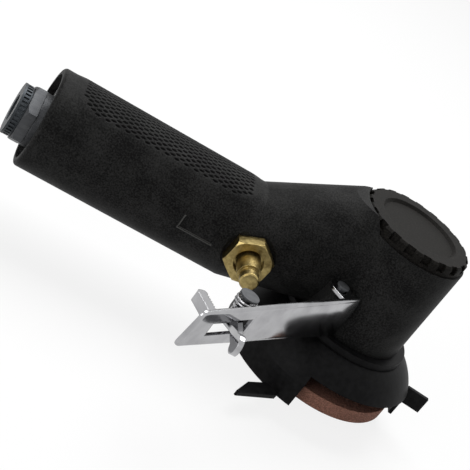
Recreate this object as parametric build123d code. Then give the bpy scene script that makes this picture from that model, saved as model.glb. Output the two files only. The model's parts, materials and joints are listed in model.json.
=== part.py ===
"""Air grinder with a vertical vane motor in its head, a level grip and a lever throttle.

Z is the spindle axis, pointing up towards the head cap. Z = 0 is the seat of the
grinding wheel. The grip leaves the head towards -X, square to the spindle; the throttle
lever stands off the grip on its -Y side. Sizes are in millimetres.
"""
import math
import os

from build123d import *

# Clearances
slip = 0.06            # radial gap of a piece seated in its bore
run = 0.05             # radial gap of a running shaft or pivot
free = 0.4             # gap between pieces that pass each other

# Head and motor
head_radius = 26.5
head_bottom = 21.0
head_top = 68.0
motor_bore_radius = 22.0
motor_floor = 24.5
plate_thickness = 9.0
cylinder_length = 21.0
rotor_radius = 13.9
rotor_eccentricity = 2.0
vane_count = 5
vane_thickness = 1.6
vane_depth = 6.5
bearing_radius = 11.0
bearing_width = 7.0
bearing_land = 2.2
bearing_inner_land = 1.4
bearing_shield_depth = 0.3
rotor_end_gap = 0.2
cap_radius = 25.6
cap_height = 5.2
cap_band = 1.6
cap_notch_count = 20
cap_notch_width = 3.9
cap_notch_depth = 1.6
cap_dish_radius = 18.6
cap_dish_depth = 1.3
cap_edge = 1.0

# Spindle, wheel and guard
spindle_radius = 5.0
rear_journal_radius = 4.0
arbor_radius = 4.75
nose_radius = 22.0
nose_bottom = 8.0
nose_lip = 1.6
nose_lip_height = 7.6
nose_spigot_radius = 17.0
shaft_clearance = 1.0
seal_radius = 9.0
seal_height = 4.0
wheel_radius = 38.0
wheel_thickness = 6.4
flange_radius = 15.0
flange_height = 5.0
flange_hub_radius = 11.0
flange_rim_height = 3.5
spindle_end_proud = 1.5
nut_flats = 15.0
nut_height = 5.5
outer_flange_radius = 12.5
outer_flange_height = 3.5
guard_radius = 44.0
guard_wall = 1.6
guard_collar_wall = 2.2
guard_shoulder = 17.5
guard_top_radius = 31.0
guard_brim = 2.5
guard_bulge = 1.6
guard_bottom = -8.5
guard_lip = 7.5
guard_mouth_start = -108.5
guard_mouth_sweep = 98.5
guard_tab_tip_radius = 69.2
guard_tab_tip_angle = -127.6
guard_tab_far_radius = 55.4
guard_tab_far_angle = -129.5
guard_tab_near_radius = 47.4
guard_tab_near_angle = -116.8
guard_tab_root_sweep = 7.2
guard_tab_thickness = 2.0
guard_tab_round = 0.6
guard_ear_angle = -10.0
guard_ear_length = 9.0
guard_ear_height = 8.0
band_wall = 6.0
band_height = 3.2
band_split_angle = 45.0
band_split = 3.0
band_ear_length = 9.0
band_ear_thickness = 3.5
band_ear_round = 2.0
band_screw_radius = 1.3
band_screw_head = 1.8
band_screw_head_height = 2.4
band_screw_socket = 1.6

# Grip
grip_radius = 22.0
grip_length = 159.5
grip_height = 32.5
grip_end_round = 1.5
neck_reach = 64.0
neck_root = 9.0
neck_half_height = 32.5
neck_half_width = 21.0
neck_middle = 54.5
bay_radius = 19.0
bay_depth = 28.0
air_passage_radius = 6.0
plate_recess_start = 76.5
plate_recess_length = 15.5
plate_recess_width = 6.0
plate_recess_depth = 0.9

# Air inlet
bushing_shank_radius = 9.0
bushing_depth = 40.0
bushing_bore_radius = 5.0
hex_flats = 23.0
hex_height = 4.8
hex_standoff = 1.5
inlet_drop = 2.3         # how far the inlet sits below the grip's axis
collar_radius = 11.2
collar_length = 4.0
collar_rib_count = 36
collar_stub_radius = 8.0
collar_stub_length = 8.0
collar_flange = 1.0
collar_neck = 0.7
collar_rib_width = 0.9
collar_rib_rise = 0.6
inlet_thread_radius = 5.72
washer_radius = 11.8
deflector_thickness = 4.0
deflector_inset = 3.0
deflector_slot_count = 10
deflector_slot_radius = 2.0
deflector_rim = 1.8
deflector_hub_gap = 0.8
deflector_dish = 1.2
screen_thickness = 1.2
screen_hole_radius = 0.8
screen_pocket_radius = 6.6
screen_pocket_depth = 12.0
screen_inner_row = 2.2
screen_outer_row = 4.2

# Throttle valve
valve_reach = 60.2
valve_seat = 20.0
valve_hex_flats = 18.4
valve_hex_height = 6.3
valve_hex_turn = 23.0
valve_spotface_radius = 11.4
valve_shank_radius = 8.5
valve_shank_length = 13.0
valve_mouth_radius = 6.2
valve_mouth_depth = 3.5
plunger_radius = 5.0
plunger_proud = 14.4
plunger_step = 1.0
plunger_step_length = 5.0
plunger_end_chamfer = 0.6
plunger_head_radius = 6.0
plunger_head_length = 2.5
valve_chamber_radius = 6.7
valve_chamber_length = 6.0
plunger_travel = 4.0
valve_spring_wall = 1.1

# Throttle lever and its lock
lever_angle = 42.5
lever_pivot_x = -21.8
lever_pivot_y = -26.5
lever_length = 96.2
lever_tip_skew = 4.2
lever_heel = 7.0
lever_half_width = 8.4
lever_heel_half_width = 11.0
lever_ear_outer = 10.7
lever_sheet = 1.5
lever_edge_round = 1.2
lever_drop = 5.5
lever_ear_radius = 4.6
lever_pin_radius = 2.0
lever_pin_head = 0.8
lever_tip_round = 2.5
lever_slot_start = 60.0
lever_slot_end = 83.0
lever_slot_half = 3.4
lock_pivot_x = 62.0
lock_half_width = 2.4
lock_hub_radius = 3.2
lock_pin_radius = 1.8
lock_bar_height = 3.0
lock_leg_reach = 15.0
lock_leg_height = 12.0
lock_leg_thickness = 4.5
lock_leg_lean = 15.0
lock_leg_notches = 6
lock_thumb_angle = 48.0
lock_thumb_length = 23.5
lock_thumb_sheet = 2.2
lock_thumb_half_width = 2.8
lock_thumb_end_radius = 4.2
lock_ear_radius = 3.4
lock_ear_sheet = 1.2
spring_turns = 2
spring_wire_radius = 0.45
spring_radius = 4.0
spring_pitch = 1.35

grip_frame = Pos(0, 0, grip_height)
along_grip = grip_frame * Rot(0, -90, 0)
inlet_frame = along_grip * Pos(-inlet_drop, 0, 0)
valve_frame = grip_frame * Pos(-valve_reach, 0, 0) * Rot(90, 0, 0)
lever_frame = grip_frame * Location((lever_pivot_x, lever_pivot_y, 0), (0, 0, 180 + lever_angle))
lock_pivot_y = lever_drop - spring_radius - spring_wire_radius
lock_frame = lever_frame * Pos(lock_pivot_x, lock_pivot_y, 0)

motor_base = motor_floor + plate_thickness
motor_top = motor_base + cylinder_length
rear_plate_top = motor_top + plate_thickness
lock_ear_outer = lever_slot_half + lock_ear_sheet
spring_base = lock_ear_outer + free + spring_wire_radius
spring_length = spring_turns * spring_pitch
bay_floor = grip_length - bay_depth
deflector_face = grip_length - deflector_inset
plunger_seat = valve_seat - valve_shank_length + valve_chamber_length - 3 * slip
hex_face = grip_length + hex_standoff


def rod(radius, bottom, top):
    """A round bar on Z from bottom to top."""
    return Pos(0, 0, bottom) * Cylinder(radius, top - bottom, align=(Align.CENTER, Align.CENTER, Align.MIN))


def tube(outer, inner, bottom, top):
    """A round sleeve on Z from bottom to top."""
    return rod(outer, bottom, top) - rod(inner, bottom - 1, top + 1)


def slab(x0, x1, y0, y1, z0, z1):
    """A block between two corners."""
    return Pos((x0 + x1) / 2, (y0 + y1) / 2, (z0 + z1) / 2) * Box(x1 - x0, y1 - y0, z1 - z0)


def polar(radius, angle):
    """A point in the XY plane at a radius and an angle in degrees."""
    return radius * math.cos(math.radians(angle)), radius * math.sin(math.radians(angle))


def hexagon(flats, bottom, top):
    """A hexagonal bar on Z, measured across its flats."""
    outline = RegularPolygon(flats / 2, 6, major_radius=False)
    return Pos(0, 0, bottom) * extrude(outline, top - bottom)


def around(piece, count, start=0.0):
    """Copies of a piece spread evenly round Z."""
    return [Rot(0, 0, start + 360 * i / count) * piece for i in range(count)]


def rounded_hex(flats, bottom, top, chamfered_end):
    """A hexagonal bar whose corners are turned down at one end, as a nut's are."""
    bar = hexagon(flats, bottom, top)
    corner = flats / 2 / math.cos(math.radians(30))
    drop = (corner - flats / 2) * 0.75
    rim = corner - drop
    side = corner + 0.1
    face, back, step = (top, bottom, -drop) if chamfered_end == "top" else (bottom, top, drop)
    profile = Polyline((0, face), (rim, face), (side, face + step), (side, back), (0, back), close=True)
    turned = revolve(Plane.XZ * make_face(profile), Axis.Z)
    return bar & turned


def main_housing():
    head = rod(head_radius, head_bottom, head_top)
    grip = along_grip * rod(grip_radius, neck_reach, grip_length)
    grip = fillet(grip.edges().sort_by(Axis.X)[0], grip_end_round)
    grip_ring = along_grip * (Pos(0, 0, neck_reach) * Circle(grip_radius))
    root_plane = Plane((-neck_root, 0, neck_middle), x_dir=(0, 1, 0), z_dir=(-1, 0, 0))
    neck = loft([root_plane * Ellipse(neck_half_width, neck_half_height), grip_ring])
    lug_half = lever_ear_outer - lever_sheet - free
    lug = Pos(lever_pivot_x, lever_pivot_y, -lug_half) * rod(lever_ear_radius - 1, 0, 2 * lug_half)
    lug += slab(lever_pivot_x - lever_ear_radius + 1, lever_pivot_x + lever_ear_radius - 1,
                lever_pivot_y, lever_pivot_y + 12, -lug_half, lug_half)
    body = head + grip + neck + grip_frame * lug
    body -= rod(guard_top_radius + 1, 0, head_bottom)
    body -= rod(2 * head_radius, head_top + cap_height, head_top + 2 * neck_half_height)
    body -= rod(cap_radius + free, head_top, head_top + 2 * neck_half_height)
    pin_bore = rod(lever_pin_radius + slip, -lug_half - 1, lug_half + 1)
    body -= grip_frame * Pos(lever_pivot_x, lever_pivot_y, 0) * pin_bore
    body -= rod(motor_bore_radius, motor_floor, head_top + 1)
    body -= rod(nose_spigot_radius + slip, head_bottom - 1, motor_floor + 1)
    body -= along_grip * rod(bay_radius, bay_floor, grip_length + 1)
    body -= inlet_frame * rod(bushing_shank_radius + slip, grip_length - bushing_depth, grip_length)
    body -= along_grip * rod(air_passage_radius, 10, grip_length - bushing_depth + 1)
    body -= valve_frame * rod(valve_shank_radius + slip, valve_seat - valve_shank_length, valve_seat + 1)
    body -= valve_frame * rod(valve_chamber_radius, -valve_chamber_radius, valve_seat)
    body -= valve_frame * rod(valve_spotface_radius, valve_seat, grip_radius + 5)
    recess = slab(-plate_recess_start - plate_recess_length, -plate_recess_start, -grip_radius - 2,
                  -grip_radius + plate_recess_depth, -plate_recess_width / 2, plate_recess_width / 2)
    body -= grip_frame * recess
    return body


def head_cap():
    """The clamp cap: a notched rim over the head and a spigot down to the rear plate."""
    top = head_top + cap_height
    spigot = motor_bore_radius - slip
    floor = top - cap_dish_depth
    profile = Polyline((0, rear_plate_top), (spigot, rear_plate_top), (spigot, head_top),
                       (cap_radius, head_top), (cap_radius, top - cap_edge),
                       (cap_radius - cap_edge, top), (cap_dish_radius, top),
                       (cap_dish_radius - cap_dish_depth, floor), (0, floor), close=True)
    cap = revolve(Plane.XZ * make_face(profile), Axis.Z)
    notch = slab(cap_radius - cap_notch_depth, cap_radius + 1, -cap_notch_width / 2, cap_notch_width / 2,
                 head_top + cap_band, top + 1)
    return cap - around(notch, cap_notch_count)


def end_plate(bottom, pocket_up, shaft_hole):
    """A motor end plate with a pocket for its bearing on the outer side."""
    plate = tube(motor_bore_radius - slip, shaft_hole, bottom, bottom + plate_thickness)
    top = bottom + plate_thickness
    if pocket_up:
        return plate - rod(bearing_radius + slip, top - bearing_width, top + 1)
    return plate - rod(bearing_radius + slip, bottom - 1, bottom + bearing_width)


def bearing(bore, bottom):
    """A ball bearing drawn as its shielded ring, with the shield's groove on both faces."""
    ring = tube(bearing_radius, bore + run, bottom, bottom + bearing_width)
    groove_outer = bearing_radius - bearing_land
    groove_inner = bore + run + bearing_inner_land
    groove = tube(groove_outer, groove_inner, -bearing_shield_depth, bearing_shield_depth)
    return ring - Pos(0, 0, bottom) * groove - Pos(0, 0, bottom + bearing_width) * groove


def motor_cylinder():
    bore = rotor_radius + rotor_eccentricity + slip
    sleeve = rod(motor_bore_radius - slip, motor_base, motor_top)
    return sleeve - Pos(rotor_eccentricity, 0, 0) * rod(bore, motor_base - 1, motor_top + 1)


def rotor():
    body = tube(rotor_radius, spindle_radius, motor_base + rotor_end_gap, motor_top - rotor_end_gap)
    slot_width = vane_thickness + 2 * slip
    slot = slab(rotor_radius - vane_depth - slip, rotor_radius + 1, -slot_width / 2, slot_width / 2,
                motor_base - 1, motor_top + 1)
    return body - around(slot, vane_count)


def vanes():
    vane = slab(rotor_radius - vane_depth, rotor_radius - slip, -vane_thickness / 2, vane_thickness / 2,
                motor_base + rotor_end_gap, motor_top - rotor_end_gap)
    return around(vane, vane_count)


def spindle():
    nut_end = -wheel_thickness - outer_flange_height - nut_height
    shaft = rod(spindle_radius, flange_height, motor_top)
    shaft += rod(rear_journal_radius, motor_top, rear_plate_top - free)
    shaft += rod(arbor_radius, nut_end - spindle_end_proud, flange_height)
    return shaft


def spindle_nose():
    """The screwed nose under the head: it closes the motor bore and carries the guard."""
    nose = rod(nose_radius, nose_bottom + nose_lip_height, head_bottom)
    nose += rod(nose_radius + nose_lip, nose_bottom, nose_bottom + nose_lip_height)
    nose += rod(nose_spigot_radius, head_bottom, motor_floor)
    nose -= rod(spindle_radius + shaft_clearance, nose_bottom - 1, motor_floor + 1)
    return nose - rod(seal_radius, nose_bottom - 1, nose_bottom + seal_height)


def spindle_seal():
    return tube(seal_radius - slip, spindle_radius + run, nose_bottom + free, nose_bottom + seal_height)


def wheel_flange():
    flange = rod(flange_radius, 0, flange_rim_height) + rod(flange_hub_radius, 0, flange_height)
    return flange - rod(arbor_radius + slip, -1, flange_height + 1)


def grinding_wheel():
    return tube(wheel_radius, arbor_radius + slip, -wheel_thickness, 0)


def outer_flange():
    top = -wheel_thickness
    return tube(outer_flange_radius, arbor_radius + slip, top - outer_flange_height, top)


def wheel_nut():
    top = -wheel_thickness - outer_flange_height
    nut = rounded_hex(nut_flats, top - nut_height, top, "bottom")
    return nut - rod(arbor_radius + slip, top - nut_height - 1, top + 1)


def guard():
    """A flared hood on a short collar, open at its skirt on the lever's side, with a tab and an ear."""
    collar_in = nose_radius + run
    collar_out = collar_in + guard_collar_wall
    collar_top = head_bottom - free / 2
    low = guard_shoulder - guard_wall
    skirt_in = guard_radius - guard_wall
    middle = (guard_top_radius + guard_radius) / 2 + guard_bulge
    middle_level = (guard_shoulder + guard_brim) / 2 + guard_bulge
    outer = ThreePointArc((guard_top_radius, guard_shoulder), (middle, middle_level),
                          (guard_radius, guard_brim))
    inner = ThreePointArc((skirt_in, guard_brim), (middle - guard_wall, middle_level - guard_wall),
                          (guard_top_radius - guard_wall, low))
    wall = [Polyline((guard_top_radius - guard_wall, low), (collar_in, low), (collar_in, collar_top),
                     (collar_out, collar_top), (collar_out, guard_shoulder),
                     (guard_top_radius, guard_shoulder)), outer,
            Polyline((guard_radius, guard_brim), (guard_radius, guard_bottom), (skirt_in, guard_bottom),
                     (skirt_in, guard_brim)), inner]
    hood = revolve(Plane.XZ * make_face(wall), Axis.Z)
    sector = revolve(Plane.XZ * Pos(guard_radius, guard_lip / 2 + guard_bottom) * Rectangle(
        2 * guard_radius, -2 * guard_bottom + guard_lip), Axis.Z, guard_mouth_sweep)
    hood -= Rot(0, 0, guard_mouth_start) * sector
    root = guard_radius - guard_wall
    outline = Polyline(polar(guard_tab_tip_radius, guard_tab_tip_angle),
                       polar(guard_tab_far_radius, guard_tab_far_angle),
                       polar(root, guard_tab_near_angle - guard_tab_root_sweep),
                       polar(root, guard_tab_near_angle),
                       polar(guard_tab_near_radius, guard_tab_near_angle), close=True)
    tab = extrude(make_face(outline), guard_tab_thickness)
    tab = Pos(0, 0, guard_bottom) * fillet(tab.edges().filter_by(Axis.Z).sort_by(SortBy.DISTANCE)[-2:],
                                           guard_tab_round)
    ear = slab(skirt_in, guard_radius + guard_ear_length, 0, guard_tab_thickness,
               guard_lip - guard_ear_height, guard_lip)
    lugs = tab + Rot(0, 0, guard_ear_angle) * ear - rod(skirt_in, guard_bottom - 1, guard_lip + 1)
    return hood + lugs


def guard_clamp_band():
    inner = nose_radius + run + guard_collar_wall + slip
    outer = inner + band_wall
    bottom = guard_shoulder + slip
    top = bottom + band_height
    band = tube(outer, inner, bottom, top)
    ear_span = band_split / 2 + band_ear_thickness
    ears = slab(inner + 1, outer + band_ear_length, -ear_span, ear_span, bottom, top)
    gap = slab(inner - 1, outer + band_ear_length + 1, -band_split / 2, band_split / 2, bottom - 1, top + 1)
    hole = Pos(outer + band_ear_length / 2, 0, (bottom + top) / 2) * Rot(90, 0, 0) * rod(
        band_screw_radius, -ear_span - 1, ear_span + 1)
    ears = fillet(ears.edges().filter_by(Axis.Z).group_by(Axis.X)[-1], band_ear_round)
    return Rot(0, 0, band_split_angle) * (band + ears - rod(inner, bottom - 1, top + 1) - gap - hole)


def guard_clamp_screw():
    inner = nose_radius + run + guard_collar_wall + slip
    ear_middle = inner + band_wall + band_ear_length / 2
    level = guard_shoulder + slip + band_height / 2
    ear_span = band_split / 2 + band_ear_thickness
    head_top_face = ear_span + band_screw_head_height
    screw = rod(band_screw_radius - slip, -ear_span - 2, ear_span)
    screw += rod(band_screw_head, ear_span, head_top_face)
    screw -= hexagon(band_screw_socket, ear_span + 1, head_top_face + 1)
    return Rot(0, 0, band_split_angle) * Pos(ear_middle, 0, level) * Rot(90, 0, 0) * screw


def inlet_bushing():
    inner_end = grip_length - bushing_depth
    body = rod(bushing_shank_radius, inner_end, hex_face)
    body += rounded_hex(hex_flats, hex_face, hex_face + hex_height, "top")
    body -= rod(bushing_bore_radius, inner_end - 1, hex_face + hex_height + 1)
    outer_face = hex_face + hex_height
    body -= rod(collar_stub_radius + slip, outer_face - collar_stub_length - slip, outer_face + 1)
    body -= rod(screen_pocket_radius, inner_end - 1, inner_end + screen_pocket_depth)
    return inlet_frame * body


def inlet_collar():
    """The ribbed hose collar that screws into the inlet bushing."""
    face = hex_face + hex_height
    end = face + collar_length
    root = collar_radius - collar_neck
    collar = rod(root, face, end) + rod(collar_radius, end - collar_flange, end)
    rib = slab(root - 1, root + collar_rib_rise, -collar_rib_width / 2, collar_rib_width / 2,
               face + collar_neck, end - collar_flange / 2)
    collar += around(rib, collar_rib_count)
    collar += rod(collar_stub_radius, face - collar_stub_length, face)
    return inlet_frame * (collar - rod(inlet_thread_radius, face - collar_stub_length - 1, end + 1))


def inlet_washer():
    return inlet_frame * tube(washer_radius, bushing_shank_radius + slip, deflector_face, hex_face)


def exhaust_deflector():
    base = deflector_face - deflector_thickness
    plate = rod(bay_radius - slip, base, deflector_face)
    hub = rod(bushing_shank_radius + slip, base - 1, deflector_face + 1)
    plate -= Pos(-inlet_drop, 0, 0) * hub
    dish_outer = bay_radius - deflector_rim
    dish_inner = washer_radius + inlet_drop + deflector_hub_gap
    plate -= tube(dish_outer, dish_inner, deflector_face - deflector_dish, deflector_face + 1)
    middle = (dish_outer + dish_inner) / 2
    slot = Pos(middle, 0, 0) * rod(deflector_slot_radius, base - 1, deflector_face + 1)
    return along_grip * (plate - around(slot, deflector_slot_count))


def exhaust_silencer():
    top = deflector_face - deflector_thickness
    felt = rod(bay_radius - slip, bay_floor, top)
    hole = rod(bushing_shank_radius + slip, bay_floor - 1, top + 1)
    return along_grip * (felt - Pos(-inlet_drop, 0, 0) * hole)


def inlet_screen():
    floor = grip_length - bushing_depth + screen_pocket_depth
    disc = rod(screen_pocket_radius - slip, floor - screen_thickness, floor)
    hole = rod(screen_hole_radius, floor - screen_thickness - 1, floor + 1)
    holes = [hole] + around(Pos(screen_inner_row, 0, 0) * hole, 6)
    holes += around(Pos(screen_outer_row, 0, 0) * hole, 12)
    return inlet_frame * (disc - holes)


def valve_body():
    """The brass valve body: a hexagon on the grip, a shank inside and a mouth round the plunger."""
    top = valve_seat + valve_hex_height
    body = Rot(0, 0, valve_hex_turn) * rounded_hex(valve_hex_flats, valve_seat, top, "top")
    body += rod(valve_shank_radius, valve_seat - valve_shank_length, valve_seat)
    body -= rod(plunger_radius + run, valve_seat - valve_shank_length - 1, top + 1)
    body -= rod(valve_mouth_radius, top - valve_mouth_depth, top + 1)
    floor = valve_seat - valve_shank_length
    return valve_frame * (body - rod(valve_chamber_radius, floor - 1, floor + valve_chamber_length))


def valve_plunger():
    """The plunger: a stepped pin the lever pushes, with a sealing head inside."""
    end = valve_seat + valve_hex_height + plunger_proud
    step = end - plunger_step_length
    pin = rod(plunger_radius, plunger_seat - 0.5, step) + rod(plunger_radius - plunger_step, step, end)
    pin = chamfer(pin.edges().group_by(Axis.Z)[-1], plunger_end_chamfer)
    return valve_frame * (pin + rod(plunger_head_radius, plunger_seat - plunger_head_length, plunger_seat))


def valve_spring():
    """The plunger's return spring as a sleeve at its pressed length, seated on the plunger's head."""
    outer = plunger_head_radius
    bottom = plunger_travel + free - valve_chamber_radius
    return valve_frame * tube(outer, outer - valve_spring_wall, bottom, plunger_seat - plunger_head_length)


def lever_ear(radius, inner, outer, hole):
    """One ear of the lever: a rounded plate round a pivot hole, standing on the web."""
    plate = rod(radius, inner, outer) + slab(-radius, radius, 0, lever_drop, inner, outer)
    return plate - rod(hole, inner - 1, outer + 1)


def throttle_lever():
    """The lever: a bright sheet web with two pivot ears, and a slot with ears for the lock."""
    upper_end = lever_length - lever_tip_skew
    outline = Polyline((-lever_heel, -lever_heel_half_width), (upper_end, -lever_half_width),
                       (lever_length, lever_half_width), (-lever_heel, lever_heel_half_width), close=True)
    web = extrude(make_face(outline), lever_sheet)
    tip = web.edges().filter_by(Axis.Z).group_by(Axis.X)
    web = fillet(tip[-1] + tip[-2], lever_tip_round)
    long_edges = web.edges().group_by(Axis.Z)[-1].filter_by(lambda edge: edge.length > lever_length / 2)
    web = fillet(long_edges, lever_edge_round)
    web = Pos(0, lever_drop, 0) * Rot(-90, 0, 0) * web
    web -= slab(lever_slot_start, lever_slot_end, lever_drop - 1, lever_drop + lever_sheet + 1,
                -lever_slot_half, lever_slot_half)
    ear_inner = lever_ear_outer - lever_sheet
    ears = lever_ear(lever_ear_radius, ear_inner, lever_ear_outer, lever_pin_radius + run)
    lock_ear = lever_ear(lock_ear_radius, lever_slot_half, lock_ear_outer, lock_pin_radius + slip)
    ears += Pos(lock_pivot_x, lock_pivot_y, 0) * lock_ear
    ears -= slab(-lever_heel, lever_length, lever_drop + lever_sheet / 2, 2 * lever_drop, 0, lever_ear_outer)
    return lever_frame * (web + ears + mirror(ears, Plane.XY))


def lever_pin():
    reach = lever_ear_outer + lever_pin_head
    head = rod(lever_pin_radius + lever_pin_head, reach, reach + lever_pin_head)
    return lever_frame * (rod(lever_pin_radius, -reach, reach) + head)


def lock_lever():
    """The lock: a hub, a bar with a notched leg towards the grip, and a thumb tab outside the web."""
    bar = slab(0, lock_leg_reach + lock_leg_thickness / 2, -lock_bar_height / 2, lock_bar_height / 2,
               -lock_half_width, lock_half_width)
    leg_half = lock_leg_thickness / 2
    leg = slab(-leg_half, leg_half, -lock_leg_height, 0, -lock_half_width, lock_half_width)
    leg = fillet(leg.edges().filter_by(Axis.Z).group_by(Axis.Y)[0], lock_leg_thickness / 3)
    pitch = lock_leg_height / (lock_leg_notches + 3)
    notch = pitch / 3
    cut = Rot(0, 0, 45) * slab(-notch, notch, -notch, notch, -lever_slot_half, lever_slot_half)
    leg -= [Pos(-leg_half, -pitch * (i + 2), 0) * cut for i in range(lock_leg_notches)]
    reach = lock_thumb_length - lock_thumb_end_radius
    thumb_half = lock_thumb_sheet / 2
    thumb = slab(0, reach, -thumb_half, thumb_half, -lock_thumb_half_width, lock_thumb_half_width)
    thumb += Pos(reach, 0, 0) * Rot(90, 0, 0) * rod(lock_thumb_end_radius, -thumb_half, thumb_half)
    piece = rod(lock_hub_radius, -lock_half_width, lock_half_width) + bar
    piece += Pos(lock_leg_reach, 0, 0) * Rot(0, 0, -lock_leg_lean) * leg
    piece += Rot(0, 0, lock_thumb_angle) * thumb
    return lock_frame * (piece - rod(lock_pin_radius + run, -lever_slot_half, lever_slot_half))


def lock_pin():
    top = spring_base + spring_length + 2 * spring_wire_radius + free
    end = lock_ear_outer + free
    pin = rod(lock_pin_radius, -end, top) + rod(spring_radius, top, top + lever_pin_head)
    return lock_frame * pin


def biarc(start, start_dir, end, end_dir):
    """Two tangent arcs that leave start along start_dir and reach end along end_dir."""
    chord = end - start
    total = start_dir + end_dir
    spread = 2 * (1 - start_dir.dot(end_dir))
    ahead = chord.dot(total)
    reach = (-ahead + math.sqrt(ahead * ahead + spread * chord.dot(chord))) / spread
    first = start + start_dir * reach
    second = end - end_dir * reach
    joint = (first + second) * 0.5
    return [TangentArc(start, joint, tangent=start_dir), TangentArc(joint, end, tangent=second - first)]


def lock_spring():
    """The lock's torsion spring: its turns round the pin, with one leg along the lever's web."""
    rise = spring_pitch / (2 * math.pi)

    def point(turn):
        height = spring_base + rise * turn
        return Vector(-spring_radius * math.sin(turn), spring_radius * math.cos(turn), height)

    def heading(turn):
        return Vector(-spring_radius * math.cos(turn), -spring_radius * math.sin(turn), rise).normalized()

    quarters = spring_turns * 4 + 1
    turns = [i * math.pi / 2 for i in range(quarters + 1)]
    leg = 2 * spring_radius
    edges = [Line(point(0) - heading(0) * leg, point(0))]
    for a, b in zip(turns, turns[1:]):
        edges += biarc(point(a), heading(a), point(b), heading(b))
    last = turns[-1]
    edges.append(Line(point(last), point(last) + heading(last) * spring_radius))
    path = Wire(edges)
    section = Plane(path @ 0, z_dir=path % 0) * Circle(spring_wire_radius)
    print("lock spring: least gap between turns", round(spring_pitch - 2 * spring_wire_radius, 2), "mm")
    return lock_frame * sweep(section, path)


nodes = {
    "main_housing": main_housing(),
    "head_cap": head_cap(),
    "rear_end_plate": end_plate(motor_top, True, rear_journal_radius + shaft_clearance),
    "rear_bearing": bearing(rear_journal_radius, rear_plate_top - bearing_width),
    "motor_cylinder": motor_cylinder(),
    "rotor": rotor(),
    "vanes": vanes(),
    "front_end_plate": end_plate(motor_floor, False, spindle_radius + shaft_clearance),
    "front_bearing": bearing(spindle_radius, motor_floor),
    "spindle": spindle(),
    "spindle_nose": spindle_nose(),
    "spindle_seal": spindle_seal(),
    "wheel_flange": wheel_flange(),
    "grinding_wheel": grinding_wheel(),
    "outer_flange": outer_flange(),
    "wheel_nut": wheel_nut(),
    "guard": guard(),
    "guard_clamp_band": guard_clamp_band(),
    "guard_clamp_screw": guard_clamp_screw(),
    "inlet_bushing": inlet_bushing(),
    "inlet_collar": inlet_collar(),
    "inlet_washer": inlet_washer(),
    "inlet_screen": inlet_screen(),
    "exhaust_deflector": exhaust_deflector(),
    "exhaust_silencer": exhaust_silencer(),
    "valve_body": valve_body(),
    "valve_plunger": valve_plunger(),
    "valve_spring": valve_spring(),
    "throttle_lever": throttle_lever(),
    "lever_pin": lever_pin(),
    "lock_lever": lock_lever(),
    "lock_pin": lock_pin(),
    "lock_spring": lock_spring(),
}

os.makedirs("parts", exist_ok=True)
for name, shape in nodes.items():
    if isinstance(shape, list):
        shape = Compound(children=shape)
    export_step(shape, f"parts/{name}.step")
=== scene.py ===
# %% [markdown]
# # Dressing an air grinder
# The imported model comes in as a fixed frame: every rigid piece already has its shape and place.
# This script adds what the solids leave out. It gives each piece a finish, sinks the pits of the
# grip, winds the small spring of the lock, crowns the lever's sheet, and sets up the camera and the
# light.

# %% Load the frame
import json
import math

import bpy
import numpy as np
from mathutils import Matrix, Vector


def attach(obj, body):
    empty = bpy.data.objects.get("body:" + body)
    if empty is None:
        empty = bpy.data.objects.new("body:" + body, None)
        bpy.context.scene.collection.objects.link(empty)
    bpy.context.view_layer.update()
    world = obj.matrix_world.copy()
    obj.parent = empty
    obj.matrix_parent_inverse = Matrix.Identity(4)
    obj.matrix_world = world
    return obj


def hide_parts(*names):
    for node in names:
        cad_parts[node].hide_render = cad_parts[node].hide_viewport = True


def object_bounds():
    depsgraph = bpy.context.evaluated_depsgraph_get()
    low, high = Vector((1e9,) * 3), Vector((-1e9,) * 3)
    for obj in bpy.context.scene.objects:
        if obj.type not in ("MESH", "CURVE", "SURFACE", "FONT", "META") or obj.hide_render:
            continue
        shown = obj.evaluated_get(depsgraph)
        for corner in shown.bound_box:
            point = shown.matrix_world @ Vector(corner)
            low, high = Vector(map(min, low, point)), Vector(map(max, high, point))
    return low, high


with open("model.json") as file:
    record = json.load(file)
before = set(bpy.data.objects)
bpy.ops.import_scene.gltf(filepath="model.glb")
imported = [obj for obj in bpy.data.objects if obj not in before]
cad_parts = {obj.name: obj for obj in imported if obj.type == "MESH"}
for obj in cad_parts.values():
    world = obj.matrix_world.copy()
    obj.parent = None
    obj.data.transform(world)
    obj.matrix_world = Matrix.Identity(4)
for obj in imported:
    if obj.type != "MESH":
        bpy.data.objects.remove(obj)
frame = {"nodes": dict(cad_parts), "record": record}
cad_box = [list(corner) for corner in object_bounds()]
MM = 0.001
print("nodes:", len(frame["nodes"]), "box:", cad_box)

# %% [markdown]
# ## The lever's own frame
# The grip runs level along -X, and the lever stands off its side at an angle. The lever's pieces are
# easier to draw along the lever itself, so one small function carries points from the lever's axes
# to the model's axes.

# %% Frame of the lever
GRIP_HEIGHT = 32.5
GRIP_RADIUS = 22.0
LEVER_ANGLE = math.radians(42.5)
LEVER_PIVOT = (-21.8, -26.5)
LEVER_LENGTH = 96.2
LEVER_DROP = 5.5              # from the pivot to the sheet's inner face
LEVER_SHEET = 1.5


def from_lever(points):
    """Points in mm along the lever, X to its tip and Y away from the grip, given in the model's metres:
    turned about Z by half a turn and the lever's angle, then moved to the pivot."""
    x, y, z = np.moveaxis(np.asarray(points, float), -1, 0)
    c, s = math.cos(math.pi + LEVER_ANGLE), math.sin(math.pi + LEVER_ANGLE)
    places = [LEVER_PIVOT[0] + c * x - s * y, LEVER_PIVOT[1] + s * x + c * y, GRIP_HEIGHT + z]
    return np.stack(places, -1) * MM


print("lever tip at", from_lever([LEVER_LENGTH, LEVER_DROP, 0.0]).round(4))

# %% [markdown]
# ## Camera
# The photograph looks down on the lever's side, with the camera rolled so that the grip runs from
# upper left to lower right. A narrow field of view keeps the near lever from growing too large.
# The camera's axes are written straight into its matrix, so no constraint is needed.

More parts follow.
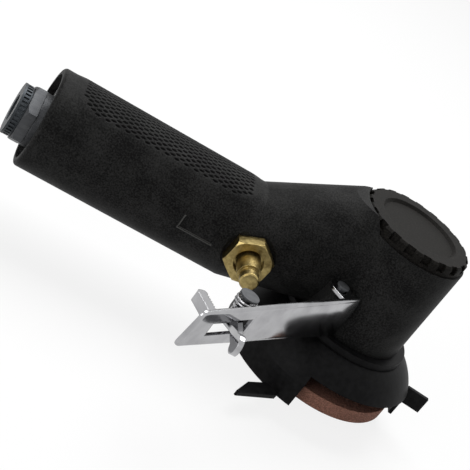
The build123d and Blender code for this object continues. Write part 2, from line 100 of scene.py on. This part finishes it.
# %% Place the camera
AZIMUTH, ELEVATION, ROLL = (math.radians(a) for a in (17.692, 24.427, 36.504))
FIELD = math.radians(20.348)
DISTANCE = 550.11
AIM = np.array([-60.0, 0.0, GRIP_HEIGHT])
AIM_SHIFT = (-5.296, -1.38)
UPWARD = np.array([0.0, 0.0, 1.0])

outward = np.array([-math.sin(AZIMUTH), -math.cos(AZIMUTH), 0.0])
back = math.cos(ELEVATION) * outward + math.sin(ELEVATION) * UPWARD
level = np.array([math.cos(AZIMUTH), -math.sin(AZIMUTH), 0.0])
rise = np.cross(back, level)
right = math.cos(ROLL) * level + math.sin(ROLL) * rise
up = -math.sin(ROLL) * level + math.cos(ROLL) * rise
eye = (AIM + DISTANCE * back + AIM_SHIFT[0] * right + AIM_SHIFT[1] * up) * MM


def placed(axes, place):
    """A matrix whose first three columns are the axes and whose last column is the place."""
    matrix = np.eye(4)
    matrix[:3, :3] = np.stack(axes, 1)
    matrix[:3, 3] = place
    return Matrix(matrix.tolist())


camera_data = bpy.data.cameras.new("photo_camera")
camera_data.sensor_width = 36.0
camera_data.lens = camera_data.sensor_width / 2 / math.tan(FIELD / 2)
camera_data.clip_start, camera_data.clip_end = 0.01, 20.0
camera = bpy.data.objects.new("photo_camera", camera_data)
camera.matrix_world = placed([right, up, back], eye)
bpy.context.scene.collection.objects.link(camera)
bpy.context.scene.camera = camera
print("camera at", eye.round(3), "lens", round(camera_data.lens, 1))

# %% [markdown]
# ## Shader arithmetic
# A finish is a small formula: so much noise, times a mask, added to a colour. Wrapping a socket in
# a class with Python's operators lets the formula be written as one. Every other node is made by the
# class's one method, which sets the node's own settings first and then fills or links its sockets.


# %% A socket that can be calculated with
class Signal:
    """A shader socket, with the tree that it belongs to. Without a socket it only adds nodes."""

    def __init__(self, tree, socket=None):
        self.tree = tree
        self.socket = socket

    def node(self, kind, settings=None, sockets=None, output=0):
        """Adds a node, sets its settings, fills or links its sockets, and gives back one output."""
        made = self.tree.nodes.new(kind)
        for key, value in (settings or {}).items():
            if key == "stops":
                ramp = made.color_ramp
                while len(ramp.elements) < len(value):
                    ramp.elements.new(0.5)
                for element, (place, shade) in zip(ramp.elements, value):
                    element.position = place
                    element.color = (*shade, 1.0)
            else:
                setattr(made, key, value)
        for key, value in (sockets or {}).items():
            if isinstance(value, Signal):
                self.tree.links.new(value.socket, made.inputs[key])
            else:
                made.inputs[key].default_value = value
        return Signal(self.tree, made.outputs[output])

    def math(self, operation, *values):
        return self.node("ShaderNodeMath", {"operation": operation}, dict(enumerate(values)))

    def below(self, limit):
        """1 where this signal is less than the limit, 0 elsewhere."""
        return self.math("LESS_THAN", self, limit)

    def mix(self, low, high):
        """Colour low where this signal is 0, colour high where it is 1."""
        low, high = (c if isinstance(c, Signal) else (*c, 1.0) for c in (low, high))
        return self.node("ShaderNodeMix", {"data_type": "RGBA"}, {0: self, 6: low, 7: high}, 2)

    def __add__(self, other):
        return self.math("ADD", self, other)

    def __radd__(self, other):
        return self.math("ADD", other, self)

    def __sub__(self, other):
        return self.math("SUBTRACT", self, other)

    def __rsub__(self, other):
        return self.math("SUBTRACT", other, self)

    def __mul__(self, other):
        return self.math("MULTIPLY", self, other)

    def __rmul__(self, other):
        return self.math("MULTIPLY", other, self)

    def __truediv__(self, other):
        return self.math("DIVIDE", self, other)

    def __rtruediv__(self, other):
        return self.math("DIVIDE", other, self)

    def __abs__(self):
        return self.math("ABSOLUTE", self)


print("signals ready")

# %% [markdown]
# ## A finish
# A finish is one material, kept under the name of the slot that it fills. Its shader starts with
# plain values for what is the same all over, and signals are fed to the sockets that vary.

# %% A material that takes signals
finishes = {}


class Finish:
    """A material for one slot, with noise, ramps and relief measured in the object's own metres."""

    def __init__(self, slot, name, **plain):
        self.material = bpy.data.materials.new(name)
        self.material.use_nodes = True
        tree = self.material.node_tree
        self.shader = tree.nodes["Principled BSDF"]
        for key, value in plain.items():
            self.shader.inputs[key.replace("_", " ")].default_value = value
        self.place = Signal(tree).node("ShaderNodeTexCoord", output="Object")
        finishes[slot] = self

    def noise(self, scale, detail=2.0, rough=0.5):
        """Smooth noise of about one grain every 1/scale metres."""
        sockets = {"Vector": self.place, "Scale": scale, "Detail": detail, "Roughness": rough}
        return self.place.node("ShaderNodeTexNoise", {}, sockets, "Fac")

    def ramp(self, signal, *stops):
        return self.place.node("ShaderNodeValToRGB", {"stops": stops}, {"Fac": signal}, "Color")

    def feed(self, socket, signal):
        signal.tree.links.new(signal.socket, self.shader.inputs[socket])

    def relief(self, height, distance, strength=1.0, edge=0.0):
        """Bumps the surface by a height in units of distance. An edge, in metres, rounds sharp corners."""
        sockets = {"Height": height, "Distance": distance, "Strength": strength}
        if edge:
            sockets["Normal"] = self.place.node("ShaderNodeBevel", {"samples": 4}, {"Radius": edge})
        self.feed("Normal", self.place.node("ShaderNodeBump", {}, sockets))


print("finish helper ready")

# %% [markdown]
# ## Grip and housing
# The housing is black glass-filled composite. It has a fine grain from the mould and a patch of
# staggered pits over the top of the grip. The pits themselves are a surface made further down. The
# finish also paints shade into them, darkening the pits: the shader works out how far along and how far
# round the grip a point is, and where it is in its cell of pits.

# %% Where a point is among the pits
PIT_PITCH = 4.5 * MM          # between pits of one row, along the grip
PIT_ROW = 1.1 * MM            # between rows, round the grip
PIT_LONG, PIT_WIDE = 1.25 * MM, 0.54 * MM
PATCH_START, PATCH_END = 70.5 * MM, 149.5 * MM
PATCH_MIDDLE, PATCH_REACH = (PATCH_START + PATCH_END) / 2, (PATCH_END - PATCH_START) / 2
PATCH_HALF = 14.0 * MM        # half of the patch's width round the grip
PATCH_CORNER = 8.0 * MM
PIT_RIM, PIT_FLOOR = 1.3, 0.35  # where the darkening starts and where it is full, in the oval's measure

composite = Finish("composite", "grained_composite", Specular_IOR_Level=0.05)
spot = composite.place
parted = spot.node("ShaderNodeSeparateXYZ", {}, {0: spot}).socket.node
x, y, z = (Signal(spot.tree, output) for output in parted.outputs)
along = 0.0 - x
above = z - GRIP_HEIGHT * MM
round_top = spot.math("ARCTAN2", y, above) * (GRIP_RADIUS * MM)
row = spot.math("ROUND", round_top / PIT_ROW)
stagger = spot.math("MODULO", abs(row), 2.0) * 0.5
pit_x = (spot.math("FRACT", along / PIT_PITCH + stagger) - 0.5) * PIT_PITCH
pit_y = round_top - row * PIT_ROW
oval = spot.math("POWER", pit_x / PIT_LONG, 2.0) + spot.math("POWER", pit_y / PIT_WIDE, 2.0)
over_x = spot.math("MAXIMUM", abs(along - pit_x - PATCH_MIDDLE) - (PATCH_REACH - PATCH_CORNER), 0.0)
over_y = spot.math("MAXIMUM", abs(row * PIT_ROW) - (PATCH_HALF - PATCH_CORNER), 0.0)
outside = spot.math("SQRT", over_x * over_x + over_y * over_y) - PATCH_CORNER
fall = {0: oval, 1: PIT_RIM, 2: PIT_FLOOR, 3: 0.0, 4: 1.0}
pit = spot.node("ShaderNodeMapRange", {"interpolation_type": "SMOOTHSTEP"}, fall) * outside.below(0.0)
print("pits along the patch:", round((PATCH_END - PATCH_START) / PIT_PITCH))

# %% [markdown]
# In front, the bare recess of the grip has a lower wall and an outer wall that get a painted highlight:
# their colour is made paler. Each wall is a thin box of space, and the mask is 1 inside either box.

# %% Walls of the recess, and the composite's colour
RECESS_START, RECESS_END = 76.5 * MM, 92.0 * MM
RECESS_MIDDLE, RECESS_REACH = (RECESS_START + RECESS_END) / 2, (RECESS_END - RECESS_START) / 2
RECESS_HALF = 3.0 * MM        # half of the recess's width
WALL = 0.4 * MM
PAINTED_PIT_SHADE, PAINTED_WALL_LIGHT = (0.002, 0.002, 0.002), (0.07, 0.07, 0.067)

low_wall = abs(above + RECESS_HALF).below(WALL)
end_wall = abs(along - RECESS_END).below(WALL)
in_length = abs(along - RECESS_MIDDLE).below(RECESS_REACH + WALL)
in_width = abs(above).below(RECESS_HALF + WALL)
# A painted highlight: the lower and outer walls of the recess are made paler.
painted_wall_light = spot.math("MAXIMUM", low_wall, end_wall) * in_length * in_width * y.below(0.0)
grain = composite.noise(1500.0, 2.0, 0.6)
cloud = composite.noise(90.0, 3.0, 0.55)
speckle = 0.65 * grain + 0.35 * cloud
shade = composite.ramp(speckle, (0.4, (0.003, 0.003, 0.003)), (0.62, (0.0215, 0.0215, 0.021)))
# The pits' dark colour is painted shade.
composite.feed("Base Color", painted_wall_light.mix(pit.mix(shade, PAINTED_PIT_SHADE), PAINTED_WALL_LIGHT))
composite.feed("Roughness", 0.46 + 0.16 * grain + 0.3 * pit)
composite.relief(grain, 0.08 * MM, 0.8)
print("nodes in the composite:", len(spot.tree.nodes))

# %% [markdown]
# ## Plain finishes
# The other pieces have moulded, painted, pressed or bonded finishes. Each gets a colour that wanders
# a little, a roughness that follows the same noise, and a relief at the scale of its real texture.

# %% Cap and guard
cap = Finish("cap_composite", "charcoal_composite", Specular_IOR_Level=0.05)
cap_grain = cap.noise(1700.0, 2.0, 0.6)
cap_shade = cap.ramp(cap_grain, (0.38, (0.002, 0.0018, 0.0015)), (0.66, (0.0135, 0.0124, 0.0108)))
cap.feed("Base Color", cap_shade)
cap.feed("Roughness", 0.5 + 0.15 * cap_grain)
cap.relief(cap_grain, 0.06 * MM, 0.8, 0.35 * MM)

paint = Finish("black_paint", "satin_black_paint", Specular_IOR_Level=0.06)
peel = paint.noise(420.0, 2.0, 0.5)
paint.feed("Base Color", paint.ramp(peel, (0.3, (0.003, 0.003, 0.0032)), (0.8, (0.01, 0.01, 0.0104))))
paint.feed("Roughness", 0.42 + 0.12 * peel)
paint.relief(peel, 0.08 * MM, 0.6, 0.4 * MM)
print("finishes so far:", len(finishes))

# %% Seal, silencer, wheel and vanes
rubber = Finish("rubber", "seal_rubber", Specular_IOR_Level=0.3)
rubber_grain = rubber.noise(2500.0)
rubber.feed("Base Color", rubber_grain.mix((0.01, 0.01, 0.01), (0.03, 0.03, 0.03)))
rubber.feed("Roughness", 0.6 + 0.2 * rubber_grain)

felt = Finish("felt", "silencer_felt", Specular_IOR_Level=0.1)
fibre = felt.noise(2200.0, 4.0, 0.7)
felt.feed("Base Color", fibre.mix((0.08, 0.08, 0.078), (0.3, 0.3, 0.29)))
felt.feed("Roughness", 0.85 + 0.1 * fibre)
felt.relief(fibre, 0.3 * MM)

stone = Finish("abrasive", "bonded_abrasive", Specular_IOR_Level=0.2)
grit_sockets = {"Vector": stone.place, "Scale": 1500.0}
grit = stone.place.node("ShaderNodeTexVoronoi", {"feature": "F1"}, grit_sockets, "Distance")
bonded = 0.6 * grit + 0.4 * stone.noise(300.0, 3.0)
stone.feed("Base Color", stone.ramp(bonded, (0.15, (0.09, 0.042, 0.03)), (0.75, (0.33, 0.16, 0.115))))
stone.feed("Roughness", 0.8 + 0.15 * grit)
stone.relief(grit, 0.3 * MM, 0.9)

resin = Finish("vane_resin", "vane_resin", Specular_IOR_Level=0.3)
fleck = resin.noise(700.0, 4.0)
resin.feed("Base Color", fleck.mix((0.12, 0.06, 0.03), (0.32, 0.2, 0.1)))
resin.feed("Roughness", 0.5 + 0.2 * fleck)
print("finishes so far:", len(finishes))

# %% [markdown]
# ## Metals
# Machined steel shows faint rings from the lathe or strokes from the polishing belt. Stretching the
# noise along one axis gives such strokes. The plated lever is smooth enough to mirror the room, so
# only a trace of waviness is left in it. The brass is turned and a little tarnished.


# %% Steel, chrome, brass and aluminium
def metal(slot, name, dark, bright, rough, stretch, relief, edge):
    """A metal whose colour and roughness follow stretched noise, with corners softened by the edge."""
    finish = Finish(slot, name, Metallic=1.0)
    place = finish.place.node("ShaderNodeMapping", {}, {"Vector": finish.place, "Scale": stretch})
    sockets = {"Vector": place, "Scale": 900.0, "Detail": 3.0}
    strokes = finish.place.node("ShaderNodeTexNoise", {}, sockets, "Fac")
    stain = finish.noise(140.0, 3.0)
    finish.feed("Base Color", finish.ramp(0.5 * strokes + 0.5 * stain, (0.3, dark), (0.7, bright)))
    finish.feed("Roughness", rough[0] + (rough[1] - rough[0]) * strokes)
    finish.relief(strokes, relief, 0.5, edge)


metal("dark_steel", "gunmetal_steel", (0.045, 0.047, 0.05), (0.09, 0.092, 0.096),
      rough=(0.45, 0.6), stretch=(0.2, 1.0, 1.0), relief=0.02 * MM, edge=0.5 * MM)
metal("collar_steel", "ribbed_collar_steel", (0.022, 0.025, 0.028), (0.05, 0.055, 0.06),
      rough=(0.4, 0.58), stretch=(1.0, 1.0, 1.0), relief=0.02 * MM, edge=0.2 * MM)
metal("bright_steel", "machined_steel", (0.42, 0.42, 0.43), (0.62, 0.62, 0.63),
      rough=(0.2, 0.36), stretch=(0.2, 1.0, 1.0), relief=0.02 * MM, edge=0.0)
metal("chrome", "chrome_plate", (0.31, 0.31, 0.32), (0.45, 0.45, 0.46),
      rough=(0.08, 0.16), stretch=(0.15, 0.15, 0.15), relief=0.01 * MM, edge=0.5 * MM)
metal("brass", "turned_brass", (0.085, 0.055, 0.017), (0.47, 0.37, 0.155),
      rough=(0.25, 0.42), stretch=(0.7, 0.7, 0.7), relief=0.04 * MM, edge=0.4 * MM)
metal("cast_aluminium", "satin_aluminium", (0.5, 0.5, 0.5), (0.68, 0.68, 0.68),
      rough=(0.35, 0.5), stretch=(1.0, 1.0, 1.0), relief=0.03 * MM, edge=0.0)

for part in frame["record"]["subparts"]:
    node = frame["nodes"][part["node"]]
    node.data.materials.clear()
    node.data.materials.append(finishes[part["material_slot"]].material)

# %% [markdown]
# ## Surfaces from two parameters
# A new piece here is a grid of points: one parameter runs along it, the other across or round it.
# The points come from a formula as one array, and the faces from the grid's own numbering.


# %% From a grid of points to a mesh
def grid_piece(name, points, slot, body, wrap_across=False):
    """A piece from a grid of points, rows along and columns across; each face joins four neighbours."""
    rows, columns = points.shape[:2]
    index = np.arange(rows * columns).reshape(rows, columns)
    if wrap_across:
        index = np.concatenate([index, index[:, :1]], 1)
    corners = [index[:-1, :-1], index[:-1, 1:], index[1:, 1:], index[1:, :-1]]
    faces = np.stack(corners, -1).reshape(-1, 4)
    mesh = bpy.data.meshes.new(name)
    mesh.from_pydata(points.reshape(-1, 3).tolist(), [], faces.tolist())
    mesh.polygons.foreach_set("use_smooth", np.ones(len(mesh.polygons), bool))
    mesh.materials.append(finishes[slot].material)
    piece = bpy.data.objects.new(name, mesh)
    bpy.context.scene.collection.objects.link(piece)
    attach(piece, body)
    return piece


def smooth(share):
    """An S-shaped curve from 0 to 1, level at both ends: three times the square less twice the cube."""
    return share * share * (3.0 - 2.0 * share)


print("grid helper ready")

# %% [markdown]
# ## The pitted patch
# The patch is a skin that follows the grip, 0.4 mm proud, with its border run down into the housing.
# In each cell the skin dips in an oval bowl. Rows run along the grip and every second row is shifted
# by half a pitch, as in the finish above.

# %% Sink the pits
PATCH_RISE, PIT_DEPTH, BORDER = 0.4 * MM, 0.36 * MM, 6.0 * MM
BORDER_SINK = 0.1 * MM        # how far the border's end lies under the housing's surface
POINTS_ALONG, POINTS_ROUND = 430, 170

along_patch = np.linspace(PATCH_START - BORDER, PATCH_END + BORDER, POINTS_ALONG)
round_patch = np.linspace(-PATCH_HALF - BORDER, PATCH_HALF + BORDER, POINTS_ROUND)
s, a = np.meshgrid(along_patch, round_patch, indexing="ij")
row_number = np.round(a / PIT_ROW)
phase = s / PIT_PITCH + 0.5 * np.mod(np.abs(row_number), 2.0)
pit_s = (phase - np.floor(phase) - 0.5) * PIT_PITCH
pit_a = a - row_number * PIT_ROW
bowl = np.sqrt(np.clip(1.0 - (pit_s / PIT_LONG) ** 2 - (pit_a / PIT_WIDE) ** 2, 0.0, 1.0))


def beyond_patch(s, a):
    """How far a point lies outside the patch's rounded outline; negative inside."""
    ds = np.maximum(np.abs(s - PATCH_MIDDLE) - (PATCH_REACH - PATCH_CORNER), 0.0)
    da = np.maximum(np.abs(a) - (PATCH_HALF - PATCH_CORNER), 0.0)
    return np.hypot(ds, da) - PATCH_CORNER


bowl = bowl * (beyond_patch(s - pit_s, row_number * PIT_ROW) < 0.0)
slope = np.clip(beyond_patch(s, a) / BORDER, 0.0, 1.0)
height = PATCH_RISE * (1.0 - smooth(slope)) - BORDER_SINK * slope - PIT_DEPTH * bowl
reach = GRIP_RADIUS * MM + height
angle = a / (GRIP_RADIUS * MM)
skin_points = np.stack([-s, reach * np.sin(angle), GRIP_HEIGHT * MM + reach * np.cos(angle)], -1)
patch = grid_piece("grip_pits", skin_points, "composite", "housing")
print("patch faces:", len(patch.data.polygons))

# %% [markdown]
# ## The lock's spring
# A torsion spring swings the lock back. It is one wire: a leg along the lever's sheet, two turns
# and a quarter round the pin, and a short leg out. The wire's middle is a helix, and the tube is a
# circle carried along it, square to the path, so the turns stay round.

# %% The spring's path
SPRING_RADIUS, SPRING_WIRE, SPRING_PITCH, SPRING_TURNS = 4.0, 0.45, 1.35, 2.25
SLOT_HALF, EAR_SHEET, FREE = 3.4, 1.2, 0.4
SPRING_CENTRE = np.array([62.0, LEVER_DROP - SPRING_RADIUS - SPRING_WIRE, 0.0])
SPRING_BASE = SLOT_HALF + EAR_SHEET + FREE + SPRING_WIRE
LEG_START = 0.3               # the first step from a turn's end into its leg

turn = np.linspace(0.0, 2 * math.pi * SPRING_TURNS, 260)
climb = SPRING_PITCH / (2 * math.pi)
rings = [-SPRING_RADIUS * np.sin(turn), SPRING_RADIUS * np.cos(turn), SPRING_BASE + climb * turn]
coil = np.stack(rings, 1)
first = np.array([SPRING_RADIUS, 0.0, -climb]) / math.hypot(SPRING_RADIUS, climb)
last = coil[-1] - coil[-2]
last /= np.linalg.norm(last)
leg_in = coil[0] + first * np.linspace(2 * SPRING_RADIUS, LEG_START, 12)[:, None]
leg_out = coil[-1] + last * np.linspace(LEG_START, SPRING_RADIUS, 8)[:, None]
path = np.concatenate([leg_in, coil, leg_out])
print("points along the wire:", len(path))

# %% Wind the spring
TIP_SHARE = 0.02              # the wire's ends, as a share of its radius


def wire_tube(path, radius, sides=16):
    """A circle of the given radius at each point of the path, square to it, and drawn in to a point at
    both ends."""
    ahead = np.gradient(path, axis=0)
    ahead /= np.linalg.norm(ahead, axis=1, keepdims=True)
    out = np.cross(ahead, UPWARD)
    out /= np.linalg.norm(out, axis=1, keepdims=True)
    over = np.cross(out, ahead)
    centres, out, over = (np.concatenate([v[:1], v, v[-1:]]) for v in (path, out, over))
    girth = np.full(len(centres), radius)
    girth[[0, -1]] = radius * TIP_SHARE
    angle = np.linspace(0.0, 2 * math.pi, sides, endpoint=False)[None, :, None]
    circle = out[:, None] * np.cos(angle) + over[:, None] * np.sin(angle)
    return centres[:, None] + circle * girth[:, None, None]


wire_points = from_lever(wire_tube(path + SPRING_CENTRE, SPRING_WIRE))
spring = grid_piece("lock_spring_wire", wire_points, "chrome", "lever_group", True)
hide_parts("lock_spring")
print("spring points:", len(spring.data.vertices))

# %% [markdown]
# ## The crown of the lever
# The lever's sheet is flat at the tip and pressed into a shallow crown towards the pivot, which is
# what bends the reflections in it. The crown is a thin skin on the sheet's outer face: its height
# is a parabola across the lever, faded in along it, and it meets the sheet along its edges. The
# sheet widens towards the pivot, and the crown with it.

# %% Press the crown
CROWN = 0.5
LEVER_FACE = LEVER_DROP + LEVER_SHEET
LEVER_HALF, LEVER_HEEL_HALF, LEVER_UPPER_END = 8.4, 11.0, 92.0
CROWN_START, CROWN_FULL, CROWN_HEEL = 59.0, 38.0, -7.0
EDGE_DROP, EDGE_INSET = 1.0, 0.05  # how far the skin's long edges lie under the face, and inside the sheet
SKIN_LIFT = 0.02              # how far the skin stands off the face

length = np.linspace(CROWN_HEEL, CROWN_START, 120)
width = np.linspace(-1.0, 1.0, 61)
u, v = np.meshgrid(length, width, indexing="ij")
fade = smooth(np.clip((CROWN_START - u) / (CROWN_START - CROWN_FULL), 0.0, 1.0))
plateau = np.sqrt(np.clip(1.0 - v ** 8, 0.0, 1.0))
crown = LEVER_FACE - EDGE_DROP + (EDGE_DROP + SKIN_LIFT) * plateau + CROWN * fade * (1.0 - v * v)
to_tip = (u - CROWN_HEEL) / (LEVER_UPPER_END - CROWN_HEEL)
half_width = LEVER_HEEL_HALF + (LEVER_HALF - LEVER_HEEL_HALF) * to_tip
crown_points = from_lever(np.stack([u, crown, v * (half_width - EDGE_INSET)], -1)[:, ::-1])
skin = grid_piece("lever_crown", crown_points, "chrome", "lever_group")
print("crown faces:", len(skin.data.polygons))

# %% [markdown]
# ## Room
# A pale floor, a plain white surround and three soft lamps. The surround is white only for the
# camera and for mirror rays, so the metals show the white room, while the lamps do nearly all the
# lighting of the part. The floor glows by itself in the same way, which keeps it white in the picture.


# %% Floor and surround
def straight_rays(tree):
    """1 for rays from the camera, from a mirror or through glass, and 0 for rays from matte surfaces."""
    kinds = ("Is Camera Ray", "Is Glossy Ray", "Is Transmission Ray")
    seen, mirrored, through = (Signal(tree).node("ShaderNodeLightPath", output=kind) for kind in kinds)
    return seen.math("MINIMUM", seen + mirrored + through, 1.0)


FLOOR_HALF, FLOOR_GAP = 3.0, 0.0005
FLOOR_COLOUR, FLOOR_GLOW = (0.85, 0.85, 0.85, 1.0), 0.85
SURROUND_ON_MATTE = 0.07

floor_material = bpy.data.materials.new("pale_floor")
floor_material.use_nodes = True
floor_tree = floor_material.node_tree
floor_tree.nodes.remove(floor_tree.nodes["Principled BSDF"])
start = Signal(floor_tree)
matte = start.node("ShaderNodeBsdfDiffuse", {}, {"Color": FLOOR_COLOUR})
glow = start.node("ShaderNodeEmission")
glowing = straight_rays(floor_tree) * FLOOR_GLOW
mixed = start.node("ShaderNodeMixShader", {}, {0: glowing, 1: matte, 2: glow})
floor_tree.links.new(mixed.socket, floor_tree.nodes["Material Output"].inputs["Surface"])

floor_level = cad_box[0][2] - FLOOR_GAP
sides = ((-1, -1), (1, -1), (1, 1), (-1, 1))
floor_points = [(FLOOR_HALF * i, FLOOR_HALF * j, floor_level) for i, j in sides]
floor_mesh = bpy.data.meshes.new("floor")
floor_mesh.from_pydata(floor_points, [], [(0, 1, 2, 3)])
floor_mesh.materials.append(floor_material)
floor = bpy.data.objects.new("floor", floor_mesh)
bpy.context.scene.collection.objects.link(floor)

world = bpy.data.worlds.new("surround")
world.use_nodes = True
bpy.context.scene.world = world
surround = world.node_tree.nodes["Background"]
surround.inputs["Color"].default_value = (1.0, 1.0, 1.0, 1.0)
strength = SURROUND_ON_MATTE + (1.0 - SURROUND_ON_MATTE) * straight_rays(world.node_tree)
world.node_tree.links.new(strength.socket, surround.inputs["Strength"])
bpy.context.scene.view_settings.view_transform = "Standard"
print("floor at", round(floor_level, 4))


# %% Lamps
def lamp(name, place, target, size, power):
    """A square soft lamp at a place, turned to face a target."""
    data = bpy.data.lights.new(name, "AREA")
    data.size = size
    data.energy = power
    aim = np.array(target) - np.array(place)
    aim /= np.linalg.norm(aim)
    side = np.cross(aim, UPWARD)
    side /= np.linalg.norm(side)
    piece = bpy.data.objects.new(name, data)
    piece.matrix_world = placed([side, np.cross(side, aim), -aim], place)
    bpy.context.scene.collection.objects.link(piece)


PART_MIDDLE, GRIP_MIDDLE = (-0.06, 0.0, 0.03), (-0.1, 0.0, 0.03)
lamp("key_lamp", (-0.05, 0.4, 0.95), PART_MIDDLE, size=0.8, power=14.0)
lamp("fill_lamp", (0.7, -0.9, 0.5), PART_MIDDLE, size=0.9, power=0.25)
lamp("front_lamp", (-0.55, -0.45, 0.3), GRIP_MIDDLE, size=0.45, power=2.2)
print("lamps:", len(bpy.data.lights))
